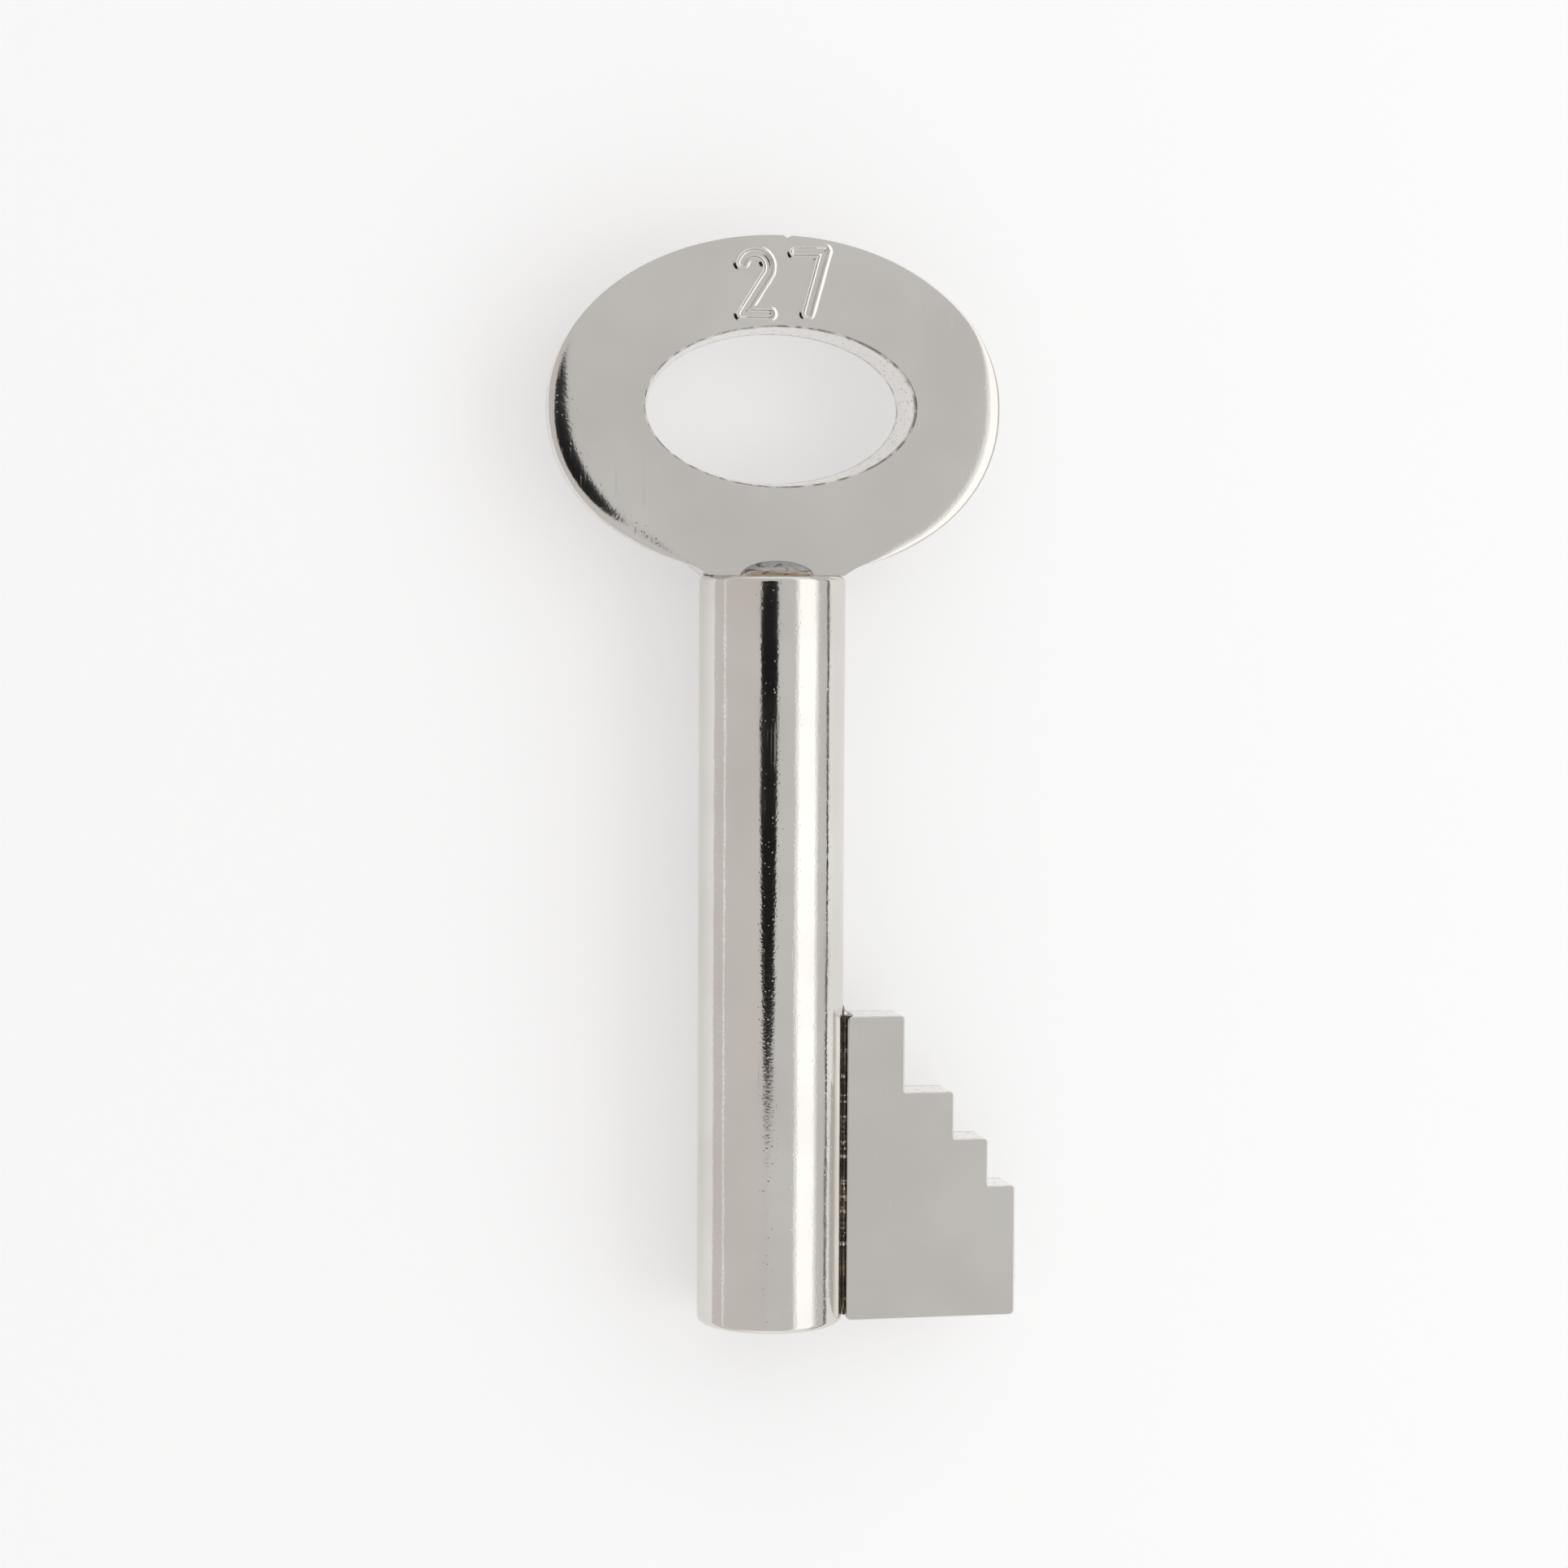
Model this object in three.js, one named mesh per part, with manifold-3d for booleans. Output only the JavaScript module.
import * as THREE from 'three';
import { ParametricGeometry } from 'three/addons/geometries/ParametricGeometry.js';
import { mergeVertices } from 'three/addons/utils/BufferGeometryUtils.js';
import Module from 'manifold-3d';

// A pipe key for a padlock, in millimetres. It lies flat: X runs from the barrel towards the bit, Y from the open
// tip towards the bow, and Z up through the plates. Each piece is drawn with the barrel's axis on Y and its open
// tip at Y = 0, and the last group moves the whole key so that it stands on Z = 0 about its own middle.

// Barrel: a tube, open at the tip for the lock's post
const BARREL_OD = 8.0;
const BARREL_BORE = 5.0;
const BARREL_LENGTH = 40.9;
const TIP_ROUND = 0.6;
const HEAD_ROUND = 0.3;
const BORE_LEAD_IN = 0.3;

// Bow: an oval plate with an oval ring hole and a tang that goes down the barrel's bore
const PLATE_THICKNESS = 2.8;
const BOW_WIDTH = 24.8;
const BOW_HEIGHT = 18.3;
const RING_HOLE_WIDTH = 15.0;
const RING_HOLE_HEIGHT = 8.7;
const RING_HOLE_SHIFT_X = 0.2;
const RING_HOLE_SHIFT_Y = -0.05;
const RING_HOLE_DRAFT_X = 0.5;
const RING_HOLE_DRAFT_Y = 0.25;
const RIM_WIDTH = 1.5;
const RIM_DROP = 0.28;
const RIM_SEAT_FADE = 4.5;
const RIM_TOP_FADE = 5.0;
const RIM_TOP_SHARE = 0.15;
const WALL_DRAFT = 0.15;
const BACK_RIM_WIDTH = 0.4;
const BACK_RIM_DROP = 0.12;
const SEAT_FILLET_REACH = 2.0;
const TANG_LENGTH = 8.0;
const TANG_FIT = 0.06;
const TANG_END_CHAMFER = 0.5;

// Bit: a stepped plate whose straight edge meets the barrel, with a thin tenon through the barrel's wall
const BIT_THICKNESS = 2.8;
const STEP_WIDTHS = [3.2, 2.8, 1.95, 1.6];
const STEP_LENGTHS = [4.25, 2.65, 2.65, 7.2];
const BIT_SET_BACK = 0.1;
const BIT_CORNER = 0.3;
const STEP_CORNER = 0.22;
const TENON_THICKNESS = 1.2;
const TENON_SHOULDER = 1.9;
const BORE_RECESS = 0.08;

// Braze metal at the two joints
const SEAM_GAP = 0.06;
const BRAZE_GAP = 0.03;
const MORTISE_FIT = 0.05;
const MENISCUS_HEIGHT = 0.84;
const BRAZE_PLUG = 0.8;
const SEAM_RECESS = 0.22;
const BEAD_REACH = 0.55;
const BEAD_SINK = 0.2;

// Fineness of the round forms
const BARREL_SEGMENTS = 96;
const BOW_SEGMENTS = 120;
const ROUND_STEPS = 5;
const RIM_STEPS = 6;
const BACK_RIM_STEPS = 3;
const CORNER_STEPS = 5;
const BRAZE_SEGMENTS = 64;

// Sizes that follow from the ones above
const BARREL_RADIUS = BARREL_OD / 2;
const BORE_RADIUS = BARREL_BORE / 2;
const PLATE_HALF = PLATE_THICKNESS / 2;
const BOW_CENTRE_Y = BARREL_LENGTH + BOW_HEIGHT / 2;
const SEAT_HALF = BARREL_RADIUS - HEAD_ROUND;
const SEAT_DROP = (BOW_HEIGHT / 2) * (1 - Math.sqrt(1 - (SEAT_HALF / (BOW_WIDTH / 2)) ** 2));
const TANG_HALF = Math.sqrt(BORE_RADIUS ** 2 - PLATE_HALF ** 2) - TANG_FIT;
const SEAM_X = BARREL_RADIUS + SEAM_GAP;
const BIT_LENGTH = STEP_LENGTHS.reduce((sum, length) => sum + length, 0);
const BIT_WIDTH = STEP_WIDTHS.reduce((sum, width) => sum + width, 0);
const BIT_TOP_Y = BIT_SET_BACK + BIT_LENGTH;
const SEAM_HALF = BIT_THICKNESS / 2 - SEAM_RECESS;

// Room that a boolean tool takes beyond the faces it cuts
const OVERCUT = 1.0;

const wasm = await Module();
wasm.setup();

// A closed three.js geometry as a solid that can be joined and cut
function solid(geometry) {
  const bare = geometry.index ? geometry.clone() : geometry;
  bare.deleteAttribute('normal');
  bare.deleteAttribute('uv');
  const merged = mergeVertices(bare, 1e-5);
  const mesh = new wasm.Mesh({
    numProp: 3,
    vertProperties: new Float32Array(merged.attributes.position.array),
    triVerts: new Uint32Array(merged.index.array),
  });
  mesh.merge();
  return new wasm.Manifold(mesh);
}

// A solid back as a three.js geometry
function geometryOf(body) {
  const mesh = body.getMesh();
  const geometry = new THREE.BufferGeometry();
  geometry.setAttribute('position', new THREE.BufferAttribute(mesh.vertProperties, 3));
  geometry.setIndex(new THREE.BufferAttribute(mesh.triVerts, 1));
  return geometry;
}

// A block between two corners
function block(low, high) {
  const size = new THREE.Vector3().subVectors(high, low);
  const centre = new THREE.Vector3().addVectors(low, high).multiplyScalar(0.5);
  const geometry = new THREE.BoxGeometry(size.x, size.y, size.z);
  return solid(geometry.translate(centre.x, centre.y, centre.z));
}

// Points of a quarter round from angle to angle + 90 degrees, both ends included
function quarterRound(centreX, centreY, radius, startAngle) {
  const points = [];
  for (let i = 0; i <= ROUND_STEPS; i += 1) {
    const angle = startAngle + (i / ROUND_STEPS) * (Math.PI / 2);
    points.push(new THREE.Vector2(centreX + radius * Math.cos(angle), centreY + radius * Math.sin(angle)));
  }
  return points;
}

// The tube's section turned about its axis, with the mortise for the bit's tenon cut through its wall
function makeBarrel() {
  const profile = [
    new THREE.Vector2(BORE_RADIUS + BORE_LEAD_IN, 0),
    ...quarterRound(BARREL_RADIUS - TIP_ROUND, TIP_ROUND, TIP_ROUND, -Math.PI / 2),
    ...quarterRound(BARREL_RADIUS - HEAD_ROUND, BARREL_LENGTH - HEAD_ROUND, HEAD_ROUND, 0),
    new THREE.Vector2(BORE_RADIUS, BARREL_LENGTH),
    new THREE.Vector2(BORE_RADIUS, BORE_LEAD_IN),
    new THREE.Vector2(BORE_RADIUS + BORE_LEAD_IN, 0),
  ];
  const tube = solid(new THREE.LatheGeometry(profile, BARREL_SEGMENTS));
  const mortise = block(
    new THREE.Vector3(0, BIT_SET_BACK + TENON_SHOULDER - MORTISE_FIT, -TENON_THICKNESS / 2 - MORTISE_FIT),
    new THREE.Vector3(
      BARREL_RADIUS + OVERCUT,
      BIT_TOP_Y - TENON_SHOULDER + MORTISE_FIT,
      TENON_THICKNESS / 2 + MORTISE_FIT,
    ),
  );
  return tube.subtract(mortise);
}

// The bow's outline from its centre: an ellipse whose foot runs down in a short fillet to a flat seat on the barrel
function bowOutline(angle) {
  const x = (BOW_WIDTH / 2) * Math.cos(angle);
  const ellipseY = (BOW_HEIGHT / 2) * Math.sin(angle);
  const beyondSeat = (Math.abs(x) - SEAT_HALF) / SEAT_FILLET_REACH;
  if (Math.sin(angle) > 0 || beyondSeat > 1) {
    return { x, y: ellipseY };
  }
  if (beyondSeat < 0) {
    return { x, y: -BOW_HEIGHT / 2 };
  }
  return { x, y: ellipseY - SEAT_DROP * (1 - beyondSeat) ** 2 };
}

// How fully the edges are rounded at a point of the outline: all along the sides, not at all along the seat, and
// little over the top
function rimShare(x, y) {
  if (y > 0) {
    return 1 - (1 - RIM_TOP_SHARE) * THREE.MathUtils.smoothstep(y, 0, RIM_TOP_FADE);
  }
  return THREE.MathUtils.smoothstep(Math.abs(x) - SEAT_HALF, 0, RIM_SEAT_FADE);
}

// The closed section of the bow's ring as stations, each with its height and how far it lies in from the outline.
// The front rim rolls off in a quarter ellipse, and the outer wall leans in to a smaller rounding at the back.
function bowStations() {
  const front = { wall: 'hole', z: PLATE_HALF };
  const stations = [front];
  for (let i = 0; i <= RIM_STEPS; i += 1) {
    const turn = (i / RIM_STEPS) * (Math.PI / 2);
    const inset = RIM_WIDTH * (1 - Math.sin(turn));
    const drop = RIM_DROP * (1 - Math.cos(turn));
    stations.push({ wall: 'outer', z: PLATE_HALF, inset, drop, draft: 0 });
  }
  for (let i = 0; i <= BACK_RIM_STEPS; i += 1) {
    const turn = (i / BACK_RIM_STEPS) * (Math.PI / 2);
    const inset = BACK_RIM_WIDTH * (1 - Math.cos(turn));
    const drop = BACK_RIM_DROP * (Math.sin(turn) - 1);
    stations.push({ wall: 'outer', z: -PLATE_HALF, inset, drop, draft: WALL_DRAFT });
  }
  stations.push({ wall: 'hole', z: -PLATE_HALF });
  stations.push(front);
  return stations;
}

// A point of the ring at one station: on the hole's ellipse, or on the outline moved in along its own normal
function bowPoint(station, angle, target) {
  if (station.wall === 'hole') {
    const lean = station.z < 0 ? 1 : 0;
    const holeX = RING_HOLE_WIDTH / 2 - lean * RING_HOLE_DRAFT_X;
    const holeY = RING_HOLE_HEIGHT / 2 - lean * RING_HOLE_DRAFT_Y;
    target.x = RING_HOLE_SHIFT_X + holeX * Math.cos(angle);
    target.y = RING_HOLE_SHIFT_Y + holeY * Math.sin(angle);
    target.z = station.z;
  } else {
    const { x, y } = bowOutline(angle);
    const share = rimShare(x, y);
    const onSeat = THREE.MathUtils.smoothstep(Math.abs(x), SEAT_HALF, SEAT_HALF + SEAT_FILLET_REACH);
    const draft = y > 0 ? station.draft : station.draft * onSeat;
    const inset = station.inset * share + draft;
    const normal = new THREE.Vector2(Math.cos(angle) / BOW_WIDTH, Math.sin(angle) / BOW_HEIGHT).normalize();
    target.x = x - inset * normal.x;
    target.y = y - inset * normal.y;
    target.z = station.z - station.drop * share;
  }
  target.y += BOW_CENTRE_Y;
}

// The oval ring as one closed surface over (angle, station), joined to the tang
function makeBow() {
  const stations = bowStations();
  const lastStation = stations.length - 1;
  const surface = (u, v, target) => {
    const angle = -2 * Math.PI * u;
    bowPoint(stations[Math.round(v * lastStation)], angle, target);
  };
  const ring = solid(new ParametricGeometry(surface, BOW_SEGMENTS, lastStation));

  const tang = new THREE.Shape();
  const foot = BARREL_LENGTH - TANG_LENGTH;
  const root = BARREL_LENGTH + RIM_WIDTH;
  tang.moveTo(-TANG_HALF, root);
  tang.lineTo(-TANG_HALF, foot + TANG_END_CHAMFER);
  tang.lineTo(-TANG_HALF + TANG_END_CHAMFER, foot);
  tang.lineTo(TANG_HALF - TANG_END_CHAMFER, foot);
  tang.lineTo(TANG_HALF, foot + TANG_END_CHAMFER);
  tang.lineTo(TANG_HALF, root);
  tang.closePath();
  const tangPlate = new THREE.ExtrudeGeometry(tang, { depth: PLATE_THICKNESS, bevelEnabled: false });
  return ring.add(solid(tangPlate.translate(0, 0, -PLATE_HALF)));
}

// The bit's outline: down the straight edge, along the end, and back up the steps, each corner with its own radius
function bitCorners() {
  const corners = [
    { x: SEAM_X, y: BIT_TOP_Y, radius: BIT_CORNER },
    { x: SEAM_X, y: BIT_SET_BACK, radius: BIT_CORNER },
  ];
  let x = SEAM_X + BIT_WIDTH;
  let y = BIT_SET_BACK;
  corners.push({ x, y, radius: BIT_CORNER });
  for (let i = STEP_WIDTHS.length - 1; i >= 0; i -= 1) {
    y += STEP_LENGTHS[i];
    corners.push({ x, y, radius: STEP_CORNER });
    x -= STEP_WIDTHS[i];
    if (i > 0) {
      corners.push({ x, y, radius: STEP_CORNER });
    }
  }
  return corners;
}

// A closed outline through corners, each rounded by a short curve that leaves and meets the sides it joins
function roundedOutline(corners) {
  const outline = new THREE.Shape();
  corners.forEach((corner, i) => {
    const here = new THREE.Vector2(corner.x, corner.y);
    const before = corners[(i + corners.length - 1) % corners.length];
    const after = corners[(i + 1) % corners.length];
    const start = new THREE.Vector2(before.x, before.y).sub(here).setLength(corner.radius).add(here);
    const end = new THREE.Vector2(after.x, after.y).sub(here).setLength(corner.radius).add(here);
    if (i === 0) {
      outline.moveTo(start.x, start.y);
    } else {
      outline.lineTo(start.x, start.y);
    }
    outline.quadraticCurveTo(here.x, here.y, end.x, end.y);
  });
  outline.closePath();
  return outline;
}

// The stepped plate with its tenon, which stops short of the bore's wall
function makeBit() {
  const outline = roundedOutline(bitCorners());
  const plate = new THREE.ExtrudeGeometry(outline, {
    depth: BIT_THICKNESS,
    bevelEnabled: false,
    curveSegments: CORNER_STEPS,
  });
  const tenon = block(
    new THREE.Vector3(BORE_RADIUS + BORE_RECESS, BIT_SET_BACK + TENON_SHOULDER, -TENON_THICKNESS / 2),
    new THREE.Vector3(SEAM_X + OVERCUT, BIT_TOP_Y - TENON_SHOULDER, TENON_THICKNESS / 2),
  );
  return solid(plate.translate(0, 0, -BIT_THICKNESS / 2)).add(tenon);
}

// A rod along Y
function rod(radius, fromY, toY) {
  const geometry = new THREE.CylinderGeometry(radius, radius, toY - fromY, BRAZE_SEGMENTS);
  return solid(geometry.translate(0, (fromY + toY) / 2, 0));
}

// The concave lip of braze that climbs one face of the bow: a hollow fillet across the bore, trimmed to a crescent
function makeMeniscus(side) {
  const faceZ = PLATE_HALF + BRAZE_GAP;
  const reach = BORE_RADIUS - BRAZE_GAP - faceZ;
  const fillet = new THREE.Shape();
  fillet.moveTo(faceZ, -OVERCUT);
  fillet.lineTo(faceZ + reach, -OVERCUT);
  fillet.lineTo(faceZ + reach, 0);
  fillet.quadraticCurveTo(faceZ + reach * 0.25, MENISCUS_HEIGHT * 0.1, faceZ, MENISCUS_HEIGHT);
  fillet.closePath();
  const bar = new THREE.ExtrudeGeometry(fillet, {
    depth: BARREL_BORE,
    bevelEnabled: false,
    curveSegments: ROUND_STEPS * 2,
  });
  bar.translate(0, 0, -BARREL_BORE / 2).rotateY(-Math.PI / 2).translate(0, BARREL_LENGTH, 0);
  const crescent = new THREE.CylinderGeometry(1, 1, PLATE_THICKNESS, BRAZE_SEGMENTS);
  crescent.rotateX(Math.PI / 2).scale(TANG_HALF, MENISCUS_HEIGHT, 1);
  crescent.translate(0, BARREL_LENGTH, faceZ + PLATE_HALF);
  const below = rod(BORE_RADIUS - BRAZE_GAP, BARREL_LENGTH - OVERCUT, BARREL_LENGTH);
  const trimmed = solid(bar).intersect(solid(crescent).add(below));
  const lip = trimmed.intersect(rod(BORE_RADIUS - BRAZE_GAP, BARREL_LENGTH - OVERCUT, BARREL_LENGTH + OVERCUT));
  return side > 0 ? lip : lip.rotate([0, 180, 0]);
}

// Braze in the bore all round the tang, closed under its end, with a lip on each face of the bow
function makeBowBraze() {
  const foot = BARREL_LENGTH - TANG_LENGTH;
  const plug = rod(BORE_RADIUS - BRAZE_GAP, foot - BRAZE_PLUG, BARREL_LENGTH - BRAZE_GAP);
  const tangRoom = block(
    new THREE.Vector3(-TANG_HALF - BRAZE_GAP, foot - BRAZE_GAP, -PLATE_HALF - BRAZE_GAP),
    new THREE.Vector3(TANG_HALF + BRAZE_GAP, BARREL_LENGTH + OVERCUT, PLATE_HALF + BRAZE_GAP),
  );
  return plug.add(makeMeniscus(1)).add(makeMeniscus(-1)).subtract(tangRoom);
}

// Braze in the wedge between the barrel and the bit's edge, in front of and behind the tenon, joined by a bead that
// goes round the bit's upper end
function makeBitBraze() {
  const beadFoot = BIT_TOP_Y + BRAZE_GAP;
  const beadTop = BIT_TOP_Y + BEAD_REACH;
  const wedge = block(
    new THREE.Vector3(0, BIT_SET_BACK + BIT_CORNER, -SEAM_HALF),
    new THREE.Vector3(SEAM_X - BRAZE_GAP, beadTop, SEAM_HALF),
  );
  const tenonRoom = block(
    new THREE.Vector3(0, 0, -TENON_THICKNESS / 2 - MORTISE_FIT),
    new THREE.Vector3(BARREL_OD, BARREL_LENGTH, TENON_THICKNESS / 2 + MORTISE_FIT),
  );
  const bead = new THREE.Shape();
  bead.moveTo(0, beadFoot);
  bead.lineTo(BARREL_RADIUS + BEAD_REACH, beadFoot);
  bead.quadraticCurveTo(BARREL_RADIUS + BRAZE_GAP, beadFoot + BRAZE_GAP, BARREL_RADIUS - BEAD_SINK, beadTop);
  bead.lineTo(0, beadTop);
  bead.closePath();
  const beadBar = new THREE.ExtrudeGeometry(bead, {
    depth: 2 * SEAM_HALF,
    bevelEnabled: false,
    curveSegments: ROUND_STEPS,
  });
  const surface = rod(BARREL_RADIUS + BRAZE_GAP, -OVERCUT, BARREL_LENGTH);
  const seams = wedge.subtract(tenonRoom);
  return seams.add(solid(beadBar.translate(0, 0, -SEAM_HALF))).subtract(surface);
}

function piece(name, body, color, roughness) {
  const material = new THREE.MeshStandardMaterial({ color, roughness, metalness: 1 });
  const mesh = new THREE.Mesh(geometryOf(body), material);
  mesh.name = name;
  return mesh;
}

const NICKEL = 0xb9b5af;
const BRAZE = 0xb08d57;

const key = new THREE.Group();
key.add(piece('barrel', makeBarrel(), NICKEL, 0.22));
key.add(piece('bow', makeBow(), NICKEL, 0.28));
key.add(piece('bit', makeBit(), NICKEL, 0.3));
key.add(piece('bow_braze', makeBowBraze(), BRAZE, 0.45));
key.add(piece('bit_braze', makeBitBraze(), BRAZE, 0.5));

// The origin goes to the middle of the key's outline, level with the barrel's underside
const leftX = -BOW_WIDTH / 2;
const rightX = SEAM_X + BIT_WIDTH;
const totalLength = BARREL_LENGTH + BOW_HEIGHT;
key.position.set(-(leftX + rightX) / 2, -totalLength / 2, BARREL_RADIUS);

const placed = new THREE.Group();
placed.add(key);
export default placed;
